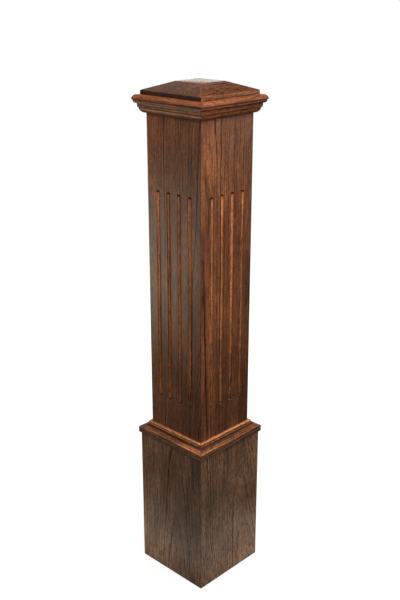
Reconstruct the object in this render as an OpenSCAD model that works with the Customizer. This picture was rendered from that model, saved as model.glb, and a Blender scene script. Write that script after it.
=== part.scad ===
// Square box newel post for a stair: four mitred boards around an empty core, stopped flutes in
// each face, a wrapped base, two mitred mouldings and a hipped cap block with a flat top.
// The post stands upright with the centre of its underside at the origin and its front face to -Y.

/* [Shaft] */
// Outside width of the square shaft
shaft_w = 158.75; // [140:0.25:200]
// Height of the shaft boards, from the floor to the underside of the cap block
shaft_h = 1131.9; // [930:0.1:1500]
// Thickness of the shaft boards
board_t = 19.05; // [16:0.05:25.4]

/* [Flutes] */
// Number of flutes in each face
flute_count = 4; // [1:1:4]
// Distance between the centres of two flutes
flute_pitch = 31.75; // [20:0.25:32]
// Width of a flute where it meets the face
flute_w = 11.5; // [8:0.5:16]
// Depth of a flute at its middle
flute_depth = 5; // [3:0.5:8]
// Plain shaft between the base moulding and the flutes
plain_below = 73; // [20:1:120]
// Plain shaft between the flutes and the cap moulding
plain_above = 159; // [40:1:240]

/* [Base] */
// Height of the base boards
base_h = 344.5; // [150:0.1:450]
// Thickness of the base boards
base_t = 19.05; // [12:0.05:25.4]

/* [Base moulding] */
// Height of the base moulding
base_mould_h = 31; // [28:0.25:45]
// How far the base moulding stands out past the base boards
base_overhang = 4; // [0:0.5:10]
// Height of the upright band along its outer edge
band_h = 16.5; // [10:0.5:17]
// Radius of the band's upper edge
band_r = 3.5; // [1:0.5:6]
// Radius of the band's lower edge
foot_r = 2; // [0.5:0.5:3]
// Rise of the sloping top, from the band to the neck
slope_rise = 4.8; // [0:0.1:5]
// How far the neck above the slope stands out from the shaft
neck_d = 3.6; // [1:0.1:6]
// Radius of the bead along the top
bead_r = 3.1; // [1.5:0.1:3.5]

/* [Cap moulding] */
// Height of the cap moulding
cap_mould_h = 38.1; // [34:0.1:60]
// How far the cap moulding stands out from the shaft
cap_mould_d = 21.7; // [20:0.1:32]
// Radius of the quarter round along its lower edge
toe_r = 11; // [6:0.5:11]
// Height of the frieze's sharp lower edge, above the quarter round
frieze_z = 11.4; // [11:0.1:14]
// How far the frieze stands out from the shaft at that edge
frieze_d = 13; // [11:0.1:14]
// How much farther out the frieze stands at its top
frieze_lean = 1; // [0:0.1:2]
// Height of the small roll between the frieze and the nose
roll_h = 6.8; // [5:0.1:8]
// Radius of the roll's lower edge
roll_r = 4.5; // [2:0.1:5]
// How far the roll stands out from the shaft
roll_d = 19.8; // [17:0.1:20]
// Height of the round nose along the top
nose_h = 10.8; // [9:0.1:14]
// Radius of the round nose
nose_r = 8.7; // [6:0.1:9]

/* [Cap block] */
// Thickness of the cap block
cap_t = 27; // [19:0.5:60]
// How far the cap block's eaves stand out from the shaft
cap_eave = 8.8; // [2:0.1:15]
// Height of the upright edge along the eaves
cap_edge = 8.8; // [4:0.1:15]
// Width of the square flat on top
cap_flat_w = 73.5; // [10:0.5:120]

/* [Hidden] */
SIDES = ["front", "right", "back", "left"];
GROUPS = ["shaft_board_", "base_board_", "base_moulding_", "cap_moulding_"];
$fn = 96;

base_w = shaft_w + 2 * base_t;
base_mould_d = base_t + base_overhang;

flute_low = base_h + base_mould_h + plain_below;
flute_high = shaft_h - cap_mould_h - plain_above;
// The cutter is a round-ended bar whose radius gives both the width and the depth of the flute
cutter_r = (flute_w * flute_w / 4 + flute_depth * flute_depth) / (2 * flute_depth);
cutter_y = -shaft_w / 2 + flute_depth - cutter_r;

cap_w = shaft_w + 2 * cap_eave;

LIGHT_OAK = "#8a5535";
DARK_OAK = "#6b4a35";

// One board of a mitred square box, on the front side: w is the box's outside width
module mitred_board(w, t, h) {
  linear_extrude(h)
    polygon([[-w / 2, -w / 2], [w / 2, -w / 2], [w / 2 - t, t - w / 2], [t - w / 2, t - w / 2]]);
}

// A length of moulding on the shaft's front face, its children drawn as (outwards, up),
// cut to the mitre planes that run from the post's axis through its corners
module mitred_length(z, d, h) {
  reach = shaft_w / 2 + d;
  intersection() {
    translate([0, -shaft_w / 2, z])
      rotate([90, 0, -90])
        linear_extrude(2 * reach + 2, center = true)
          children();
    translate([0, 0, z - 1])
      linear_extrude(h + 2)
        polygon([[0, 0], [-reach - 1, -reach - 1], [reach + 1, -reach - 1]]);
  }
}

// A bar with round ends, lying along Z between the two heights
module round_ended_bar(r, low, high) {
  rotate_extrude()
    intersection() {
      union() {
        translate([0, low + r])
          circle(r);
        translate([0, high - r])
          circle(r);
        translate([-r, low + r])
          square([2 * r, high - low - 2 * r]);
      }
      translate([0, low])
        square([r, high - low]);
    }
}

module front_flutes() {
  end = cutter_r - flute_w / 2;
  for (i = [0 : flute_count - 1])
    translate([(i - (flute_count - 1) / 2) * flute_pitch, cutter_y, 0])
      round_ended_bar(cutter_r, flute_low - end, flute_high + end);
}

module shaft_board() {
  color(LIGHT_OAK)
    difference() {
      mitred_board(shaft_w, board_t, shaft_h);
      front_flutes();
    }
}

module base_board() {
  color(DARK_OAK)
    mitred_board(base_w, base_t, base_h);
}

// Upright band with a rounded edge, a sloping top, a narrow neck and a bead against the shaft
module base_moulding_profile() {
  bead_z = base_mould_h - bead_r;
  // Band, both its edges rounded
  square([base_mould_d - band_r, band_h]);
  square([base_mould_d - foot_r, band_h - band_r]);
  translate([0, foot_r])
    square([base_mould_d, band_h - band_r - foot_r]);
  translate([base_mould_d - foot_r, foot_r])
    circle(foot_r);
  translate([base_mould_d - band_r, band_h - band_r])
    circle(band_r);
  // Sloping top
  polygon([
    [0, band_h - 1],
    [base_mould_d - band_r, band_h - 1],
    [base_mould_d - band_r, band_h],
    [2 * bead_r, band_h + slope_rise],
    [0, band_h + slope_rise]
  ]);
  // Neck and bead
  square([neck_d, bead_z]);
  translate([0, bead_z - bead_r])
    square([bead_r, 2 * bead_r]);
  translate([bead_r, bead_z])
    circle(bead_r);
}

module base_moulding() {
  color(LIGHT_OAK)
    mitred_length(base_h, base_mould_d, base_mould_h)
      base_moulding_profile();
}

// Quarter round, leaning frieze, small roll and round nose, from the lower edge up
module cap_moulding_profile() {
  lip_z = cap_mould_h - nose_h;
  roll_z = lip_z - roll_h;
  nose_d = cap_mould_d - nose_r;
  // Quarter round and the short upright above it
  intersection() {
    translate([0, toe_r])
      circle(toe_r);
    square(toe_r);
  }
  translate([0, toe_r])
    square([toe_r, frieze_z - toe_r + 1]);
  // Frieze
  polygon([
    [0, frieze_z],
    [frieze_d, frieze_z],
    [frieze_d + frieze_lean, roll_z + 1],
    [frieze_d + frieze_lean, lip_z],
    [0, lip_z]
  ]);
  // Small roll
  translate([roll_d - roll_r, roll_z + roll_r])
    circle(roll_r);
  translate([0, roll_z + roll_r])
    square([roll_d, roll_h - roll_r]);
  translate([0, roll_z])
    square([roll_d - roll_r, roll_h]);
  // Round nose over a small lip
  intersection() {
    translate([nose_d, cap_mould_h - nose_r])
      circle(nose_r);
    translate([nose_d, lip_z])
      square([nose_r, nose_h]);
  }
  translate([0, lip_z])
    square([nose_d, nose_h]);
}

module cap_moulding() {
  color(LIGHT_OAK)
    mitred_length(shaft_h - cap_mould_h, cap_mould_d, cap_mould_h)
      cap_moulding_profile();
}

// A gable-shaped prism along Y: two of these crossed give the four slopes of the cap
module cap_gable() {
  rotate([90, 0, 0])
    linear_extrude(cap_w, center = true)
      polygon([
        [-cap_w / 2, 0],
        [cap_w / 2, 0],
        [cap_w / 2, cap_edge],
        [cap_flat_w / 2, cap_t],
        [-cap_flat_w / 2, cap_t],
        [-cap_w / 2, cap_edge]
      ]);
}

module cap() {
  color(LIGHT_OAK)
    translate([0, 0, shaft_h])
      intersection() {
        cap_gable();
        rotate([0, 0, 90])
          cap_gable();
      }
}

for (i = [0 : 3])
  rotate([0, 0, 90 * i]) {
    shaft_board();
    base_board();
    base_moulding();
    cap_moulding();
  }
cap();
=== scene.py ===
import math
import random

import bmesh
import bpy
from mathutils import Matrix, Vector
from mathutils.geometry import delaunay_2d_cdt


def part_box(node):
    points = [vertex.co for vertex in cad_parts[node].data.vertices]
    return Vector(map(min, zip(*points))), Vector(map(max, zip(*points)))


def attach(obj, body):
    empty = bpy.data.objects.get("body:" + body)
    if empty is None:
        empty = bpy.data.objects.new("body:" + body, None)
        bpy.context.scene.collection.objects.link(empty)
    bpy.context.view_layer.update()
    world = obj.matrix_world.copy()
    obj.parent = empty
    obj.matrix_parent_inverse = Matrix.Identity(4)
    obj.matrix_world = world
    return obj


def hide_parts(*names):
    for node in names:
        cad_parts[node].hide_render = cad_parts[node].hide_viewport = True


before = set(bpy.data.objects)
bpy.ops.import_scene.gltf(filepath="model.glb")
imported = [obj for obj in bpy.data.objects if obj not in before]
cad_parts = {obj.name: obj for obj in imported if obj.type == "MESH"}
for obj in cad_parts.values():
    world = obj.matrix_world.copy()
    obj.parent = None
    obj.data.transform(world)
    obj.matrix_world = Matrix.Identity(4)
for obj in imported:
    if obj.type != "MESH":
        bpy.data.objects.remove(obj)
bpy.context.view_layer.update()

MM = 0.001
SIDES = ("front", "right", "back", "left")

# ---------------------------------------------------------------------------------------------
# Sizes, in millimetres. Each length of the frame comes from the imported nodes' own boxes.


def node_size(name):
    """A node's size along each axis, and the height of its underside."""
    low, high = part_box(name)
    return (high - low) / MM, low.z / MM


shaft_size, _ = node_size("shaft_board_front")
base_size, _ = node_size("base_board_front")
base_mould_size, BASE_MOULD_Z = node_size("base_moulding_front")
cap_mould_size, CAP_MOULD_Z = node_size("cap_moulding_front")
cap_size, CAP_Z = node_size("cap")

SHAFT_W, BOARD_T, SHAFT_H = shaft_size
BASE_W, BASE_T, BASE_H = base_size
_, _, BASE_MOULD_H = base_mould_size
_, _, CAP_MOULD_H = cap_mould_size
BASE_MOULD_D = (base_mould_size.x - SHAFT_W) / 2
CAP_MOULD_D = (cap_mould_size.x - SHAFT_W) / 2
CAP_W, _, CAP_T = cap_size

# The CAD's own values for what a box doesn't tell
FLUTE_COUNT, FLUTE_PITCH, FLUTE_W, FLUTE_DEPTH = 4, 31.75, 11.5, 5
PLAIN_BELOW, PLAIN_ABOVE = 73, 159
BAND_H, BAND_R, FOOT_R, SLOPE_RISE, NECK_D, BEAD_R = 16.5, 3.5, 2, 4.8, 3.6, 3.1
TOE_R, FRIEZE_Z, FRIEZE_D, FRIEZE_LEAN = 11, 11.4, 13, 1
ROLL_H, ROLL_R, ROLL_D, NOSE_H, NOSE_R = 6.8, 4.5, 19.8, 10.8, 8.7
CAP_EDGE, CAP_FLAT_W = 8.8, 73.5

# Hand-eased edges: a size, and how far back along each flank the rubbed stain with its painted
# highlight, or the painted shade of a crevice, reaches
CORNER_R, CORNER_REACH = 0.9, 2.4
ARRIS = 0.45
MOULDING_EASE, MOULDING_REACH = 0.4, 2.8
CAP_EASE, CAP_REACH, CAP_CORNER_R, HIP_REACH = 0.6, 2.2, 0.8, 3

# Degrees: an outline's smaller bends aren't eased, and faces that meet at less are shaded smooth
SHARP_BEND, SMOOTH_BELOW = 22, 35

# Values of recess. Above 0 it paints shade: in a crevice, at a flute's top end, and on the base
# moulding's foot and band; a flute's bottom end gets a burn mark. Below 0 it rubs the stain paler:
# on the bead's crown and the band's upper edge as a painted highlight, on arrises and the cap's
# eaves partly as wear and partly as a painted highlight, and on the cap's hips as wear
SHADED_CREVICE, SHADE_AND_BURN, BAND_SHADE = 1.0, 0.9, 0.6
BAND_HIGHLIGHT, WORN_AND_LIT_EDGE, RUBBED_AND_LIT, RUBBED_HIP = -0.2, -0.6, -0.8, -0.9

# A flute's walls are made paler from this steepness on, partly as thinner stain and partly as
# painted light, and how quickly that sets in
PALE_AND_LIT_FROM, PALE_AND_LIT_SLOPE = 0.25, 2.4

# How finely curves and long faces are divided
MOULDING_COLUMNS, BOARD_ROWS, FLUTE_ROWS, FLUTE_END_STEPS, FLUTE_WALL_STEPS = 24, 40, 26, 16, 12


# ---------------------------------------------------------------------------------------------
# Meshes


class Piece:
    """One piece's points, faces and surface values, in millimetres, built as the front one.

    recess and flute are a point's values: recess is 1 in a crevice and -1 on an arris, and flute
    is 1 on a flute's walls. raw marks unstained faces, and flat the faces that are shaded as
    planes. build() also works out end, which is how far a face cuts across the fibres."""

    def __init__(self):
        self.points, self.recess, self.flute = [], [], []
        self.faces, self.raw, self.flat = [], [], []

    def point(self, x, y, z, recess=0.0, flute=0.0):
        self.points.append(Vector((x, y, z)))
        self.recess.append(recess)
        self.flute.append(flute)
        return len(self.points) - 1

    def face(self, corners, raw=0.0, flat=False):
        self.faces.append(tuple(corners))
        self.raw.append(raw)
        self.flat.append(flat or raw > 0)

    def strip(self, one, other, flat=False):
        """Joins two rows of points by a row of faces."""
        for a, b, c, d in zip(one, one[1:], other[1:], other):
            self.face((a, b, c, d), 0.0, flat)

    def build(self, name, node, slot, material, turn=0, grain="Z"):
        """Makes the object, turned by quarter turns about Z, in its CAD node's place."""
        spin = Matrix.Rotation(math.pi / 2 * turn, 4, "Z") @ Matrix.Scale(MM, 4)
        mesh = bpy.data.meshes.new(name)
        mesh.from_pydata([spin @ p for p in self.points], [], self.faces)
        for label, values, domain in (
            ("recess", self.recess, "POINT"),
            ("raw", self.raw, "FACE"),
            ("flute", self.flute, "POINT"),
        ):
            mesh.attributes.new(label, "FLOAT", domain).data.foreach_set("value", values)
        shape = bmesh.new()
        shape.from_mesh(mesh)
        bmesh.ops.recalc_face_normals(shape, faces=shape.faces)
        shape.to_mesh(mesh)
        shape.free()
        fibres = Vector([axis == grain for axis in "XYZ"])
        fibres.rotate(Matrix.Rotation(math.pi / 2 * turn, 3, "Z"))
        across = [abs(face.normal.dot(fibres)) for face in mesh.polygons]
        mesh.attributes.new("end", "FLOAT", "FACE").data.foreach_set("value", across)
        mesh.set_sharp_from_angle(angle=math.radians(SMOOTH_BELOW))
        mesh.polygons.foreach_set("use_smooth", [not flat for flat in self.flat])
        mesh.materials.append(material)
        made = bpy.data.objects.new(name, mesh)
        bpy.context.scene.collection.objects.link(made)
        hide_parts(node)
        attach(made, "root")
        return made


def arc(x, y, radius, start, end, steps):
    """Points on an arc, from one angle to the other in degrees."""
    turns = [math.radians(start + (end - start) * i / steps) for i in range(steps + 1)]
    return [(x + radius * math.cos(a), y + radius * math.sin(a)) for a in turns]


def ease(outline, size, reach):
    """Softens an open outline's sharp corners and gives (across, up, recess) for each point.

    A point of the outline may bring a recess value of its own."""
    made = [(*outline[0], 0.0)]
    for before, at, after in zip(outline, outline[1:], outline[2:]):
        own = at[2] if len(at) > 2 else 0.0
        at, back, on = (Vector(point[:2]) for point in (at, before, after))
        back, on = back - at, on - at
        bend = math.degrees((-back).angle_signed(on))
        if abs(bend) < SHARP_BEND:
            made.append((at.x, at.y, own))
            continue
        # A concave corner is marked for painted shade, and a convex one for rubbed stain with a
        # painted highlight
        mark = 1.0 if bend < 0 else -1.0
        one, other = at + back.normalized() * size, at + on.normalized() * size
        flank = min(reach, 0.4 * back.length), min(reach, 0.4 * on.length)
        middle = at * 0.4 + (one + other) * 0.3
        ends = at + back.normalized() * flank[0], at + on.normalized() * flank[1]
        if flank[0] > size:
            made.append((*ends[0], 0.0))
        made += [(*one, mark), (*middle, mark), (*other, mark)]
        if flank[1] > size:
            made.append((*ends[1], 0.0))
    return made + [(*outline[-1], 0.0)]


def spread(profile, reach):
    """Lets each crevice's painted shade fade along the outline."""
    shaded_crevices = [point for point in profile if point[2] > 0.5]
    made = []
    for x, y, mark in profile:
        near = [m * (1 - math.dist((x, y), (a, b)) / reach) for a, b, m in shaded_crevices]
        made.append((x, y, max([mark] + near) if mark >= 0 else mark))
    return made


def base_moulding_outline():
    """From the shaft, out under the band, up its front, and back over the bead."""
    d, top, bead = BASE_MOULD_D, BAND_H + SLOPE_RISE, BASE_MOULD_H - BEAD_R
    band_x, band_z = d - BAND_R, BAND_H - BAND_R
    meets = math.degrees(math.asin((NECK_D - BEAD_R) / BEAD_R))

    def marked(mark, *curve):
        return [(x, y, mark) for x, y in arc(*curve)]

    return (
        [(0, 0)]
        # The foot and the band's lower edge get painted shade, the band's upper edge a painted
        # highlight, the neck painted shade, and the bead's crown rubbed stain with a painted
        # highlight
        + marked(BAND_SHADE, d - FOOT_R, FOOT_R, FOOT_R, -90, 0, 6)
        + marked(BAND_SHADE, band_x, band_z, BAND_R, 0, 23, 2)
        + marked(BAND_HIGHLIGHT, band_x, band_z, BAND_R, 34, 68, 3)
        + [(band_x, BAND_H), (2 * BEAD_R, top, SHADED_CREVICE), (NECK_D, top)]
        + marked(SHADED_CREVICE, BEAD_R, bead, BEAD_R, meets - 90, -30, 5)
        + marked(RUBBED_AND_LIT, BEAD_R, bead, BEAD_R, -10, 90, 8)
        + [(0, BASE_MOULD_H)]
    )


def cap_moulding_outline():
    """From the shaft, out along the quarter round, frieze, roll and nose, and back over the top."""
    lip = CAP_MOULD_H - NOSE_H
    roll = lip - ROLL_H
    nose_x, nose_z = CAP_MOULD_D - NOSE_R, CAP_MOULD_H - NOSE_R
    starts = math.degrees(math.asin((lip - nose_z) / NOSE_R))
    # The frieze has its full lean 1 mm up, where the roll covers it
    lean = FRIEZE_LEAN * (roll - FRIEZE_Z) / (roll + 1 - FRIEZE_Z)
    return (
        arc(0, TOE_R, TOE_R, -90, 0, 14)
        + [(TOE_R, FRIEZE_Z), (FRIEZE_D, FRIEZE_Z), (FRIEZE_D + lean, roll)]
        + arc(ROLL_D - ROLL_R, roll + ROLL_R, ROLL_R, -90, 0, 8)
        + [(ROLL_D, lip)]
        + arc(nose_x, nose_z, NOSE_R, starts, 90, 16)
        + [(0, CAP_MOULD_H)]
    )


def moulding(outline, z):
    """A length of moulding on the shaft's front, cut to its mitres."""
    piece = Piece()
    profile = spread(ease(outline, MOULDING_EASE, MOULDING_REACH), MOULDING_REACH)
    half = SHAFT_W / 2
    columns = []
    for i in range(MOULDING_COLUMNS + 1):
        s = 2 * i / MOULDING_COLUMNS - 1
        columns.append([piece.point(s * (half + d), -half - d, z + h, m) for d, h, m in profile])
    for one, other in zip(columns, columns[1:]):
        piece.strip(one, other)
        piece.face((one[-1], one[0], other[0], other[-1]), raw=1.0)
    piece.face(columns[0], raw=1.0)
    piece.face(columns[-1], raw=1.0)
    return piece


def in_flute(x, z, low, high):
    """True if a point of the face, x from a flute's middle, lies within its opening."""
    radius = FLUTE_W / 2
    z_near = min(max(z, low + radius), high - radius)
    return math.hypot(x, z - z_near) < radius + ARRIS


def flute_loop(piece, x, low, high, radius, depth, recess, shade_and_burn, flute):
    """A closed round-ended loop of points; low and high are the centres of its two ends.

    Also gives how many points each straight side and each end has."""
    y = depth - SHAFT_W / 2
    rise = [low + (high - low) * i / FLUTE_ROWS for i in range(1, FLUTE_ROWS)]
    loop = [(x + radius, z) for z in rise]
    loop += arc(x, high, radius, 0, 180, FLUTE_END_STEPS)
    loop += [(x - radius, z) for z in reversed(rise)]
    loop += arc(x, low, radius, 180, 360, FLUTE_END_STEPS)
    # Painted shade at the top end inside, and a burn mark at the bottom end
    marks = [shade_and_burn if z > high else 0.85 * shade_and_burn if z < low else recess for _, z in loop]
    loop = [piece.point(a, y, z, mark, flute) for (a, z), mark in zip(loop, marks)]
    return loop, len(rise), FLUTE_END_STEPS + 1


def cut_flute(piece, x, low, high):
    """A round-bottomed groove with round ends and a slightly eased arris; gives its outer loop."""
    radius = (FLUTE_W**2 / 4 + FLUTE_DEPTH**2) / (2 * FLUTE_DEPTH)
    out = radius - FLUTE_DEPTH
    low, high = low + FLUTE_W / 2, high - FLUTE_W / 2
    wall = math.acos((out + ARRIS) / radius)
    lip = radius * math.sin(wall)
    rows = []
    # The eased lip, rubbed paler: partly wear, partly a painted highlight
    for degrees in (0, 30, 60, 90):
        across, down = math.sin(math.radians(degrees)), math.cos(math.radians(degrees))
        rows.append((lip + 1.2 * ARRIS * (1 - across), ARRIS * (1 - down), RUBBED_AND_LIT * across, 0, 0))
    # The walls: painted shade and burn marks at the ends, and paler from a steepness on, partly
    # thinner stain and partly painted light
    for i in range(1, FLUTE_WALL_STEPS):
        a = wall * (1 - i / FLUTE_WALL_STEPS)
        steep = math.sin(a) / math.sin(wall)
        pale_and_lit = min(1.0, max(0.0, PALE_AND_LIT_SLOPE * (steep - PALE_AND_LIT_FROM)))
        rows.append((radius * math.sin(a), radius * math.cos(a) - out, 0.0, SHADE_AND_BURN, pale_and_lit))
    loops = []
    for row in rows:
        loop, side, end = flute_loop(piece, x, low, high, *row)
        loops.append(loop)
    for one, other in zip(loops, loops[1:]):
        piece.strip(one + one[:1], other + other[:1])
    inner = loops[-1]
    top, bottom = inner[side:side + end], inner[2 * side + end:]
    right = [bottom[-1]] + inner[:side] + [top[0]]
    left = [bottom[0]] + inner[side + end:2 * side + end][::-1] + [top[-1]]
    piece.face(top)
    piece.face(bottom)
    piece.strip(right, left)
    return loops[0]


def board(width, thick, high, fluted=False):
    """A mitred board on the front side, its outer corners eased with its neighbours' own."""
    piece = Piece()
    half, flat = width / 2, width / 2 - CORNER_REACH
    heights = [high * i / BOARD_ROWS for i in range(BOARD_ROWS + 1)]
    corner = arc(CORNER_R - half, CORNER_R - half, CORNER_R, 225, 270, 4) + [(-flat, -half)]
    # The corners' stain rubbed paler: partly wear, partly a painted highlight
    marks = (-1.0, -1.0, -0.8, -0.5, -0.3, 0.0)
    left = [[piece.point(x, y, z, m) for z in heights] for (x, y), m in zip(corner, marks)]
    right = [[piece.point(-x, y, z, m) for z in heights] for (x, y), m in zip(corner, marks)]
    inner = [
        piece.point(x, thick - half, z) for x in (thick - half, half - thick) for z in (0, high)
    ]
    for side in (left, right):
        for i, (one, other) in enumerate(zip(side, side[1:])):
            piece.strip(one, other, flat=i == len(corner) - 2)
    if fluted:
        low = BASE_H + BASE_MOULD_H + PLAIN_BELOW
        top = SHAFT_H - CAP_MOULD_H - PLAIN_ABOVE
        middle = (FLUTE_COUNT - 1) / 2
        centres = [(i - middle) * FLUTE_PITCH for i in range(FLUTE_COUNT)]
        holes = [cut_flute(piece, x, low, top) for x in centres]
        outline = left[-1] + right[-1][::-1]
        loops = [outline] + holes
        ids = [i for loop in loops for i in loop]
        place = {i: n for n, i in enumerate(ids)}
        edges = [(place[a], place[b]) for loop in loops for a, b in zip(loop, loop[1:] + loop[:1])]
        flats = [Vector((piece.points[i].x, piece.points[i].z)) for i in ids]
        corners, _, triangles, sources, _, _ = delaunay_2d_cdt(flats, edges, [], 1, 1e-6, True)
        for triangle in triangles:
            x, z = sum((corners[i] for i in triangle), Vector((0, 0))) / 3
            if not any(in_flute(x - c, z, low, top) for c in centres):
                piece.face([ids[sources[i][0]] for i in triangle], flat=True)
    else:
        piece.strip(left[-1], right[-1], flat=True)
    for side, (foot, head) in ((left, inner[:2]), (right, inner[2:])):
        piece.face(side[0] + [head, foot], raw=1.0)
    piece.face((inner[0], inner[1], inner[3], inner[2]), raw=1.0)
    for end in (0, -1):
        across = [column[end] for column in left] + [column[end] for column in right[::-1]]
        piece.face(across + [inner[2 + end], inner[end]], raw=1.0)
    return piece


def cap_block():
    """The hipped block: one outline carried round a square with eased corners.

    The edges that run with the fibres are worn paler than those across their ends, partly as wear
    and partly as a painted highlight."""
    piece = Piece()
    outline = [(CAP_W / 2, 0), (CAP_W / 2, CAP_EDGE), (CAP_FLAT_W / 2, CAP_T), (0, CAP_T)]
    rings = []
    for half, rise, mark in ease(outline, CAP_EASE, CAP_REACH)[:-1]:
        middle = CAP_CORNER_R - half
        corner = [(x, y, RUBBED_HIP) for x, y in arc(middle, middle, CAP_CORNER_R, 225, 270, 3)]
        row = corner + [(x * (half - HIP_REACH), -half, 0.0) for x in (-1, -0.33, 0.33, 1)]
        row += [(-x, y, m) for x, y, m in corner[:0:-1]]
        ring = []
        for turn in range(4):
            spin = Matrix.Rotation(math.pi / 2 * turn, 2)
            # The eaves along the fibres rubbed paler: partly wear, partly a painted highlight
            wear_and_painted_light = WORN_AND_LIT_EDGE if turn % 2 and 0 < rise < CAP_EDGE else 0.0
            for x, y, m in row:
                p = spin @ Vector((x, y))
                ring.append(piece.point(p.x, p.y, CAP_Z + rise, min(mark, m, wear_and_painted_light)))
        rings.append(ring)
    for one, other in zip(rings, rings[1:]):
        piece.strip(one + one[:1], other + other[:1])
    piece.face(rings[-1])
    piece.face(rings[0], raw=1.0)
    return piece


# ---------------------------------------------------------------------------------------------
# Oak, stained and clear coated


class Tree:
    """Short calls for building one material's nodes."""

    def __init__(self, name):
        self.material = bpy.data.materials.new(name)
        self.material.use_nodes = True
        self.nodes = self.material.node_tree.nodes
        self.links = self.material.node_tree.links
        self.shader = self.nodes["Principled BSDF"]

    def put(self, socket, value):
        if isinstance(value, bpy.types.NodeSocket):
            self.links.new(value, socket)
        else:
            socket.default_value = value

    def math(self, operation, *values):
        node = self.nodes.new("ShaderNodeMath")
        node.operation = operation
        for socket, value in zip(node.inputs, values):
            self.put(socket, value)
        return node.outputs[0]

    def ramp(self, value, low, high, start=0.0, end=1.0):
        """Smoothly from start to end while value goes from low to high."""
        node = self.nodes.new("ShaderNodeMapRange")
        node.interpolation_type = "SMOOTHSTEP"
        for socket, v in zip(node.inputs, (value, low, high, start, end)):
            self.put(socket, v)
        return node.outputs[0]

    def join(self, x, y, z):
        node = self.nodes.new("ShaderNodeCombineXYZ")
        for socket, v in zip(node.inputs, (x, y, z)):
            self.put(socket, v)
        return node.outputs[0]

    def split(self, vector):
        node = self.nodes.new("ShaderNodeSeparateXYZ")
        self.put(node.inputs[0], vector)
        return node.outputs

    def noise(self, x, y, z, detail=2.0, rough=0.5):
        node = self.nodes.new("ShaderNodeTexNoise")
        self.put(node.inputs["Vector"], self.join(x, y, z))
        self.put(node.inputs["Scale"], 1.0)
        self.put(node.inputs["Detail"], detail)
        self.put(node.inputs["Roughness"], rough)
        return node.outputs["Fac"]

    def blend(self, factor, one, other, kind="MIX"):
        node = self.nodes.new("ShaderNodeMix")
        node.data_type, node.blend_type = "RGBA", kind
        self.put(node.inputs["Factor"], factor)
        for socket, v in zip(node.inputs[6:8], (one, other)):
            self.put(socket, v if isinstance(v, bpy.types.NodeSocket) else (*v, 1.0))
        return node.outputs[2]

    def value(self, name):
        node = self.nodes.new("ShaderNodeAttribute")
        node.attribute_name = name
        return node.outputs["Fac"]

    def dim(self, colour, amount):
        """A colour with each of its channels multiplied by amount."""
        return self.blend(1.0, colour, self.join(amount, amount, amount), "MULTIPLY")


LIGHT = (0.27, 0.105, 0.046)
MID = (0.17, 0.062, 0.027)
DARK = (0.034, 0.013, 0.007)
PORE = (0.018, 0.008, 0.005)
# The colour of the painted shade in crevices
CREVICE_SHADE = (0.028, 0.021, 0.017)
RAW_LIGHT = (0.50, 0.33, 0.18)
RAW_DARK = (0.30, 0.175, 0.085)
# The colour of rubbed arrises: partly wear, partly a painted highlight
RUBBED_AND_LIT_WOOD = (0.37, 0.17, 0.08)

# What multiplies the stain: on end grain; at the floor, as painted light bounced from the floor; on
# the base moulding's band, as a painted grey reflection; and near the bottom and the top of the
# flutes, as paler stain with painted light, brighter at the top as a painted highlight
ON_END = (0.33, 0.42, 0.5)
FLOOR_BOUNCE = (2.0, 2.35, 2.8)
BAND_REFLECTION = (1.09, 1.42, 1.6)
FLUTE_BELOW, FLUTE_ABOVE = (2.9, 3.15, 3.0), (4.2, 4.8, 4.9)

# The heights over which these fade, and over which the whole post is darkened downward as
# painted shade, in millimetres
FLOOR_BOUNCE_FADE = 0.0, 190.0
FLUTE_FADE = 600.0, 930.0
SHADE_FADE, SHADE_BELOW = (380.0, 700.0), 0.74
BAND_BELOW = BASE_MOULD_Z - 1, BASE_MOULD_Z
BAND_ABOVE = BASE_MOULD_Z + 10, BASE_MOULD_Z + 13.5

# How far from a mitre its dark line fades, and how far a log's centre line wanders, in millimetres
MITRE_FADE = 0.3, 1.1
WANDER = 14.0

# How fine each kind of mark is, across the fibres and along them, per millimetre
WAVES = 0.011, 0.0035
JITTER = 0.12, 0.02
PORES = 1.9, 0.085
FIBRES = 0.42, 0.006
DASHES = 0.5, 0.055
SPECKS = 0.5, 0.2
BLOTS = 0.03, 0.009

# The same for the rays: per radian round the pith, and per millimetre outward and along
RAYS = 210.0, 0.035, 0.07

# Keeps the log's wandering on one axis apart from that on the other
ASIDE = 7.7


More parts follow.
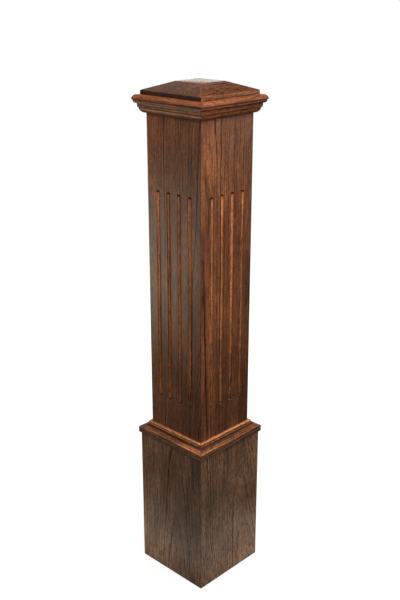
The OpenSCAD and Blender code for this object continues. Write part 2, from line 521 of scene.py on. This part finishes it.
class Timber(Tree):
    """The nodes of stained oak that is cut from a log of its own.

    x, y and z are places on the front piece, in millimetres. along is the one of them that
    follows the fibres, and a and b are the two that lie across."""

    def __init__(self, name, seed, turn, grain, tint):
        super().__init__(name)
        self.tint = tint
        dice = random.Random(seed)
        self.shift = [dice.uniform(-500, 500) for _ in range(3)]
        coords = self.nodes.new("ShaderNodeTexCoord").outputs["Object"]
        place = self.nodes.new("ShaderNodeMapping")
        place.vector_type = "POINT"
        self.put(place.inputs["Vector"], coords)
        place.inputs["Rotation"].default_value = (0, 0, -math.pi / 2 * turn)
        place.inputs["Scale"].default_value = (1 / MM,) * 3
        x, y, z = self.split(place.outputs[0])
        self.x, self.y, self.z = x, y, z
        self.a, self.b, self.along = {"Z": (x, y, z), "X": (y, z, x), "Y": (x, z, y)}[grain]
        self.recess, self.raw = self.value("recess"), self.value("raw")
        self.flute, self.end = self.value("flute"), self.value("end")

    def tinted(self, colour):
        return [channel * shift for channel, shift in zip(colour, self.tint)]

    def fibrous(self, fineness, offset, detail=2.0, rough=0.5, aside=0.0):
        """Noise drawn out along the fibres."""
        across, lengthwise = fineness
        far_a = self.math("MULTIPLY_ADD", self.a, across, aside)
        far_b = self.math("MULTIPLY", self.b, across)
        far_along = self.math("MULTIPLY_ADD", self.along, lengthwise, offset)
        return self.noise(far_a, far_b, far_along, detail, rough)

    def from_pith(self, across, wave, centre, lean):
        """How far the wood lies from the log's wavy, leaning centre line, on one axis."""
        drift = self.math("MULTIPLY_ADD", self.along, -lean, -centre - WANDER / 2)
        return self.math("ADD", across, self.math("MULTIPLY_ADD", wave, WANDER, drift))

    def grow(self, pith, spacing):
        """Finds where the wood lies in its log, and early, which is 1 on a ring's dark line."""
        wave_a = self.fibrous(WAVES, self.shift[0])
        wave_b = self.fibrous(WAVES, self.shift[0], aside=ASIDE)
        from_a = self.from_pith(self.a, wave_a, pith[0], pith[2])
        from_b = self.from_pith(self.b, wave_b, pith[1], pith[3])
        squares = [self.math("MULTIPLY", v, v) for v in (from_a, from_b)]
        self.radius = self.math("SQRT", self.math("ADD", *squares))
        self.angle = self.math("ARCTAN2", from_b, from_a)

        jitter = self.fibrous(JITTER, self.shift[1], 3.0)
        rings = self.math("MULTIPLY_ADD", jitter, 0.7, self.math("DIVIDE", self.radius, spacing))
        slow = self.noise(self.math("MULTIPLY", rings, 0.35), self.shift[2], 0.0, 3.0)
        rings = self.math("MULTIPLY_ADD", slow, 3.0, rings)
        part = self.math("FRACT", rings)
        rise, fall = self.ramp(part, 0.0, 0.05), self.ramp(part, 0.07, 0.3, 1.0, 0.0)
        early = self.math("MULTIPLY", self.math("MULTIPLY", rise, fall), self.year(rings))

        # A ring that lies along a face would be one broad dark patch there, so it is faded
        slant = self.math("DIVIDE", self.math("ABSOLUTE", from_a), self.radius)
        crossing = self.math("MAXIMUM", self.end, self.ramp(slant, 0.05, 0.4, 0.25, 1.0))
        self.early = self.math("MULTIPLY", early, crossing)

    def year(self, rings):
        """How strong each year's ring is, by lot."""
        lottery = self.nodes.new("ShaderNodeTexWhiteNoise")
        lottery.noise_dimensions = "1D"
        self.put(lottery.inputs["W"], self.math("FLOOR", rings))
        return self.ramp(lottery.outputs["Value"], 0.0, 0.9, 0.2, 1.0)

    def mark(self):
        """Finds the pores, fine fibres, dashes and rays, and the stain's specks and blots."""
        pores = self.ramp(self.fibrous(PORES, self.shift[0], 2.0, 0.6), 0.5, 0.66)
        self.pores = self.math("MULTIPLY", pores, self.math("MULTIPLY_ADD", self.early, 0.8, 0.25))
        self.fibres = self.fibrous(FIBRES, self.shift[1], 4.0, 0.62)
        self.dashes = self.ramp(self.fibrous(DASHES, self.shift[2], 2.0, 0.6), 0.46, 0.62)
        self.specks = self.fibrous(SPECKS, self.shift[0], 1.0)
        self.blots = self.fibrous(BLOTS, self.shift[2], 3.0)
        per_radian, outward, lengthwise = RAYS
        rays = self.noise(
            self.math("MULTIPLY", self.angle, per_radian),
            self.math("MULTIPLY", self.radius, outward),
            self.math("MULTIPLY_ADD", self.along, lengthwise, self.shift[2]),
            1.0,
        )
        self.rays = self.ramp(rays, 0.6, 0.74)

    def stained(self, figure, edges):
        """The colour of a plain face."""
        pore = self.tinted(PORE)
        wood = self.blend(self.ramp(self.fibres, 0.3, 0.7), self.tinted(MID), self.tinted(LIGHT))
        ring = self.math("MULTIPLY", self.early, 0.95 * figure)
        wood = self.blend(ring, wood, self.tinted(DARK))
        wood = self.blend(self.math("MULTIPLY", self.pores, 0.8), wood, pore)
        dense = self.math("MULTIPLY_ADD", self.early, 0.5 * figure, 0.32 * figure)
        wood = self.blend(self.math("MULTIPLY", self.dashes, dense), wood, pore)
        wood = self.blend(self.math("MULTIPLY", self.rays, 0.22), wood, pore)
        uneven = self.ramp(self.blots, 0.3, 0.72, 0.7, 1.2)
        uneven = self.math("MULTIPLY", uneven, self.ramp(self.specks, 0.3, 0.7, 0.78, 1.24))
        sideways = self.ramp(self.x, -SHAFT_W / 2, SHAFT_W / 2, *edges)
        return self.dim(wood, self.math("MULTIPLY", uneven, sideways))

    def toned(self, wood):
        """Paints light bounced from the floor onto the wood near it, pales the flutes' walls partly
        as thinner stain and partly as painted light, brightest near their top as a painted
        highlight, paints shade that darkens the post downward, and darkens the stain on end grain."""
        # Painted light bounced from the floor: paler and greyer toward it
        foot = self.blend(self.ramp(self.z, *FLOOR_BOUNCE_FADE, 1.0, 0.0), (1, 1, 1), FLOOR_BOUNCE)
        wood = self.blend(1.0, wood, foot, "MULTIPLY")
        # Painted shade: the post darker downward
        wood = self.dim(wood, self.ramp(self.z, *SHADE_FADE, SHADE_BELOW, 1.0))
        wood = self.blend(1.0, wood, self.blend(self.end, (1, 1, 1), ON_END), "MULTIPLY")
        # The flutes' walls paler, partly thinner stain and partly painted light, and brighter near
        # the top as a painted highlight
        pale_and_lit = self.blend(self.ramp(self.z, *FLUTE_FADE), FLUTE_BELOW, FLUTE_ABOVE)
        return self.blend(self.flute, wood, self.blend(1.0, wood, pale_and_lit, "MULTIPLY"))

    def wear_and_painted_light(self, wood):
        """Rubs the stain off the arrises, partly as wear and partly as a painted highlight, paints
        shade into the crevices, lays the stain dark in the mitres, and paints a grey reflection on
        the base moulding's band."""
        # Arrises rubbed paler: partly wear, partly a painted highlight
        patchy = self.ramp(self.fibres, 0.35, 0.65, 0.3, 0.9)
        rubbed_and_lit = self.math("MULTIPLY", self.ramp(self.recess, 0.0, -1.0), patchy)
        rubbed_and_lit = self.math("MULTIPLY", rubbed_and_lit, self.ramp(self.specks, 0.35, 0.6, 0.25, 1.0))
        wood = self.blend(rubbed_and_lit, wood, self.tinted(RUBBED_AND_LIT_WOOD))
        # Painted shade in the crevices
        wood = self.blend(self.ramp(self.recess, 0.0, 1.0, 0.0, 0.92), wood, CREVICE_SHADE)
        # A painted grey reflection on the base moulding's band
        above, below = self.ramp(self.z, *BAND_BELOW), self.ramp(self.z, *BAND_ABOVE, 1.0, 0.0)
        band = self.math("MULTIPLY", above, below)
        wood = self.blend(1.0, wood, self.blend(band, (1, 1, 1), BAND_REFLECTION), "MULTIPLY")
        # The mitres lie on the post's diagonals. The cap has none, but gets the line there too
        out_x, out_y = (self.math("ABSOLUTE", v) for v in (self.x, self.y))
        off_mitre = self.math("ABSOLUTE", self.math("SUBTRACT", out_x, out_y))
        return self.blend(self.ramp(off_mitre, *MITRE_FADE, 0.85, 0.0), wood, self.tinted(PORE))

    def bare(self):
        """The colour of wood that was never stained."""
        wood = self.blend(self.ramp(self.fibres, 0.3, 0.7), RAW_LIGHT, RAW_DARK)
        return self.blend(self.math("MULTIPLY", self.early, 0.6), wood, RAW_DARK)

    def finish(self, coat):
        """Roughness, the clear coat, and the relief of pores, rings and fibres."""
        rough = self.math("MULTIPLY_ADD", self.fibres, 0.12, 0.33)
        rough = self.math("MULTIPLY_ADD", self.pores, 0.2, rough)
        rough = self.math("MULTIPLY_ADD", self.raw, 0.3, rough)
        coated = self.ramp(self.recess, 0.0, 1.0, coat, 0.05)
        coated = self.math("MULTIPLY_ADD", self.raw, -coat, coated)
        specular = self.ramp(self.recess, 0.0, 1.0, 0.3, 0.05)
        self.put(self.shader.inputs["Roughness"], rough)
        self.put(self.shader.inputs["Specular IOR Level"], specular)
        self.put(self.shader.inputs["Coat Weight"], coated)
        self.put(self.shader.inputs["Coat Roughness"], 0.26)
        rings = self.math("MULTIPLY", self.early, -0.5)
        height = self.math("MULTIPLY_ADD", self.pores, -1.0, rings)
        height = self.math("MULTIPLY_ADD", self.fibres, 0.5, height)
        bump = self.nodes.new("ShaderNodeBump")
        self.put(bump.inputs["Strength"], 0.35)
        self.put(bump.inputs["Distance"], 0.0001)
        self.put(bump.inputs["Height"], height)
        self.put(self.shader.inputs["Normal"], bump.outputs[0])


def oak(name, seed, turn, grain, pith, spacing, tint, figure, coat=0.35, edges=(1, 1)):
    """Stained oak cut from a log of its own.

    grain is the axis that the fibres follow on the front piece. pith is the log's centre line:
    its place across the grain, and its lean along it. tint shifts the stain, and figure is how
    strongly the grain shows. coat is the clear coat's weight, and edges the wood's brightness at
    the left and right edges of a side."""
    timber = Timber(name, seed, turn, grain, tint)
    timber.grow(pith, spacing)
    timber.mark()
    wood = timber.wear_and_painted_light(timber.toned(timber.stained(figure, edges)))
    timber.put(timber.shader.inputs["Base Color"], timber.blend(timber.raw, wood, timber.bare()))
    timber.finish(coat)
    return timber.material


# ---------------------------------------------------------------------------------------------
# The 17 pieces

SHAFT_TINT = (1.07, 0.97, 0.84)
BASE_TINT = (1.54, 2.05, 2.45)
BASE_MOULD_TINT = (2.75, 2.4, 1.9)
CAP_MOULD_TINT = (1.6, 1.12, 0.62)
# How bright each side of the cap moulding is made, front, right, back and left: painted light and
# shade per side
CAP_MOULD_SIDE_LIGHT = (1.12, 0.9, 1.15, 1.1)
CAP_TINT = (1.07, 0.77, 0.45)

# For each side, where the log's centre lies and how it leans, the rings' spacing, how strongly the
# grain shows, and the brightness of the board's two edges
SHAFT_LOGS = [
    ((104, -30, 0.0, 0.03), 5.0, 1.35, (1.05, 0.85)),
    ((-100, -45, 0.02, 0.03), 7.0, 1.35, (1.2, 0.8)),
    ((150, -10, 0.0, -0.02), 5.5, 1.35, (0.9, 1.1)),
    ((-20, -20, 0.0, 0.025), 6.5, 1.35, (1.1, 0.9)),
]
BASE_LOGS = [
    ((18, -50, 0.0, 0.05), 5.0, 1.2, (1.1, 0.66)),
    ((60, -20, -0.12, 0.05), 4.5, 1.75, (0.95, 1.14)),
    ((10, -40, 0.0, 0.05), 5.0, 1.25, (1.1, 0.9)),
    ((-30, -30, 0.0, 0.04), 5.5, 1.25, (0.95, 1.1)),
]

# The same for the mouldings and the cap: centre and lean, spacing, and grain
BASE_MOULD_LOG = (30, BASE_MOULD_Z - 60, 0, 0.02), 4.5, 2.0
CAP_MOULD_LOG = (-20, CAP_MOULD_Z - 50, 0, 0.02), 4.5, 2.0
CAP_LOG = (80, CAP_Z - 18, 0.0, 0.03), 5.0, 3.2
CAP_COAT = 0.45

SHAFT_SEED, BASE_SEED, BASE_MOULD_SEED, CAP_MOULD_SEED, CAP_SEED = 11, 21, 31, 41, 51

for turn, side in enumerate(SIDES):
    pith, spacing, figure, edges = SHAFT_LOGS[turn]
    seed = SHAFT_SEED + turn
    name = "oak_shaft_" + side
    made = oak(name, seed, turn, "Z", pith, spacing, SHAFT_TINT, figure, edges=edges)
    piece = board(SHAFT_W, BOARD_T, SHAFT_H, fluted=True)
    piece.build("fluted_board_" + side, "shaft_board_" + side, "shaft_oak", made, turn)

    pith, spacing, figure, edges = BASE_LOGS[turn]
    seed = BASE_SEED + turn
    name = "oak_base_" + side
    made = oak(name, seed, turn, "Z", pith, spacing, BASE_TINT, figure, edges=edges)
    piece = board(BASE_W, BASE_T, BASE_H)
    piece.build("plinth_board_" + side, "base_board_" + side, "base_oak", made, turn)

    pith, spacing, figure = BASE_MOULD_LOG
    seed = BASE_MOULD_SEED + turn
    name = "oak_base_moulding_" + side
    made = oak(name, seed, turn, "X", pith, spacing, BASE_MOULD_TINT, figure)
    piece = moulding(base_moulding_outline(), BASE_MOULD_Z)
    piece.build("base_trim_" + side, "base_moulding_" + side, "moulding_oak", made, turn, "X")

    pith, spacing, figure = CAP_MOULD_LOG
    seed = CAP_MOULD_SEED + turn
    name = "oak_cap_moulding_" + side
    # Each side lighter or darker as painted light and shade
    tint = [c * CAP_MOULD_SIDE_LIGHT[turn] for c in CAP_MOULD_TINT]
    made = oak(name, seed, turn, "X", pith, spacing, tint, figure)
    piece = moulding(cap_moulding_outline(), CAP_MOULD_Z)
    piece.build("cap_trim_" + side, "cap_moulding_" + side, "moulding_oak", made, turn, "X")

pith, spacing, figure = CAP_LOG
made = oak("oak_cap", CAP_SEED, 0, "Y", pith, spacing, CAP_TINT, figure, CAP_COAT)
cap_block().build("cap_block", "cap", "cap_oak", made, grain="Y")


# ---------------------------------------------------------------------------------------------
# Camera, light and floor

CAMERA_AZIMUTH = math.radians(44.09)
CAMERA_AWAY = 1.8686
CAMERA_UP = 1.3629
CAMERA_PITCH = math.radians(20.16)
CAMERA_LENS = 53.06

# Name, place, aim, width, height and power, and a colour for those that aren't white
LIGHTS = [
    ("key_right", (1.3, 0.35, 2.0), (0, 0, 0.95), 0.5, 0.5, 15.0),
    ("top_right", (0.75, 0.25, 2.1), (0.05, 0, 1.1), 0.3, 0.3, 11.5),
    ("front_right", (2.0, -1.5, 1.9), (0, 0, 0.8), 0.6, 0.6, 16.0),
    ("soft_left", (-1.5, -2.4, 2.2), (0, 0, 0.9), 1.0, 1.0, 8.0),
    ("high_left", (-0.9, -1.7, 2.9), (0, 0, 1.0), 0.8, 0.8, 12.5),
    ("top_left", (-0.4, -0.9, 2.0), (0, 0, 1.0), 0.4, 0.4, 5.0),
    ("sheen_left", (-1.08, -0.84, 0.35), (0, 0, 0.6), 0.5, 0.5, 2.4, (1, 0.985, 0.8)),
    ("bounce_front", (-0.07, -0.22, 0.005), (-0.07, -0.22, 1.0), 0.4, 0.14, 0.06),
    ("bounce_right", (0.22, 0.02, 0.005), (0.22, 0.02, 1.0), 0.14, 0.4, 0.06),
    ("card_back", (-2.4, 1.7, 2.2), (0, 0, 1.1), 1.8, 2.2, 2.6, (0.94, 1, 1)),
    ("card_low", (-2.2, 2.3, 1.5), (0, 0, 1.15), 1.6, 0.7, 6.2, (0.87, 1, 0.98)),
    ("rear_left", (-2.4, 0.5, 0.8), (0, 0, 0.6), 1.2, 1.0, 10.0),
    ("rear_right", (1.4, 2.6, 1.3), (0, 0, 0.7), 1.5, 1.5, 9.0),
]
AMBIENT = 0.05

FLOOR_REACH = 20.0
# Metres from the post where the floor's own glow starts to rise and where it is full, and its
# strength at each
FLOOR_GLOW = 0.15, 0.9, 0.85, 1.0


def make_camera():
    data = bpy.data.cameras.new("camera")
    data.lens = CAMERA_LENS
    camera = bpy.data.objects.new("camera", data)
    camera.location = (
        math.sin(CAMERA_AZIMUTH) * CAMERA_AWAY,
        -math.cos(CAMERA_AZIMUTH) * CAMERA_AWAY,
        CAMERA_UP,
    )
    camera.rotation_euler = (math.pi / 2 - CAMERA_PITCH, 0, CAMERA_AZIMUTH)
    bpy.context.scene.collection.objects.link(camera)
    bpy.context.scene.camera = camera


def area_light(name, place, aim, width, height, power, colour=(1, 1, 1)):
    """A softbox that lights the post but isn't seen itself."""
    data = bpy.data.lights.new(name, "AREA")
    data.shape = "RECTANGLE"
    data.size, data.size_y = width, height
    data.energy, data.color = power, colour
    light = bpy.data.objects.new(name, data)
    light.location = place
    light.rotation_euler = (Vector(aim) - Vector(place)).to_track_quat("-Z", "Y").to_euler()
    light.visible_camera = False
    bpy.context.scene.collection.objects.link(light)


def make_floor():
    """A large plane, close to white, that still takes a faint shadow."""
    mesh = bpy.data.meshes.new("floor")
    signs = (-1, -1), (1, -1), (1, 1), (-1, 1)
    corners = [(x * FLOOR_REACH, y * FLOOR_REACH, 0) for x, y in signs]
    mesh.from_pydata(corners, [], [(0, 1, 2, 3)])
    material = bpy.data.materials.new("pale_floor")
    material.use_nodes = True
    nodes, links = material.node_tree.nodes, material.node_tree.links
    shader = nodes["Principled BSDF"]
    shader.inputs["Base Color"].default_value = (0.3, 0.3, 0.3, 1)
    shader.inputs["Roughness"].default_value = 1.0
    shader.inputs["Specular IOR Level"].default_value = 0.0
    shader.inputs["Emission Color"].default_value = (1, 1, 1, 1)
    far = nodes.new("ShaderNodeVectorMath")
    far.operation = "LENGTH"
    links.new(nodes.new("ShaderNodeTexCoord").outputs["Object"], far.inputs[0])
    glow = nodes.new("ShaderNodeMapRange")
    for socket, value in zip(glow.inputs[1:], FLOOR_GLOW):
        socket.default_value = value
    links.new(far.outputs["Value"], glow.inputs[0])
    links.new(glow.outputs[0], shader.inputs["Emission Strength"])
    mesh.materials.append(material)
    floor = bpy.data.objects.new("floor", mesh)
    floor.visible_diffuse = False
    floor.visible_glossy = False
    bpy.context.scene.collection.objects.link(floor)


def make_world():
    """White behind the post, and a dimmer even light on it."""
    world = bpy.data.worlds.new("studio")
    bpy.context.scene.world = world
    world.use_nodes = True
    nodes, links = world.node_tree.nodes, world.node_tree.links
    seen = nodes["Background"]
    seen.inputs["Strength"].default_value = 1.0
    seen.inputs["Color"].default_value = (1, 1, 1, 1)
    lit = nodes.new("ShaderNodeBackground")
    lit.inputs["Strength"].default_value = AMBIENT
    lit.inputs["Color"].default_value = (1, 1, 1, 1)
    mix = nodes.new("ShaderNodeMixShader")
    path = nodes.new("ShaderNodeLightPath")
    links.new(path.outputs["Is Camera Ray"], mix.inputs[0])
    links.new(lit.outputs[0], mix.inputs[1])
    links.new(seen.outputs[0], mix.inputs[2])
    links.new(mix.outputs[0], nodes["World Output"].inputs["Surface"])


make_camera()
make_floor()
make_world()
for values in LIGHTS:
    area_light(*values)
bpy.context.scene.view_settings.view_transform = "Standard"
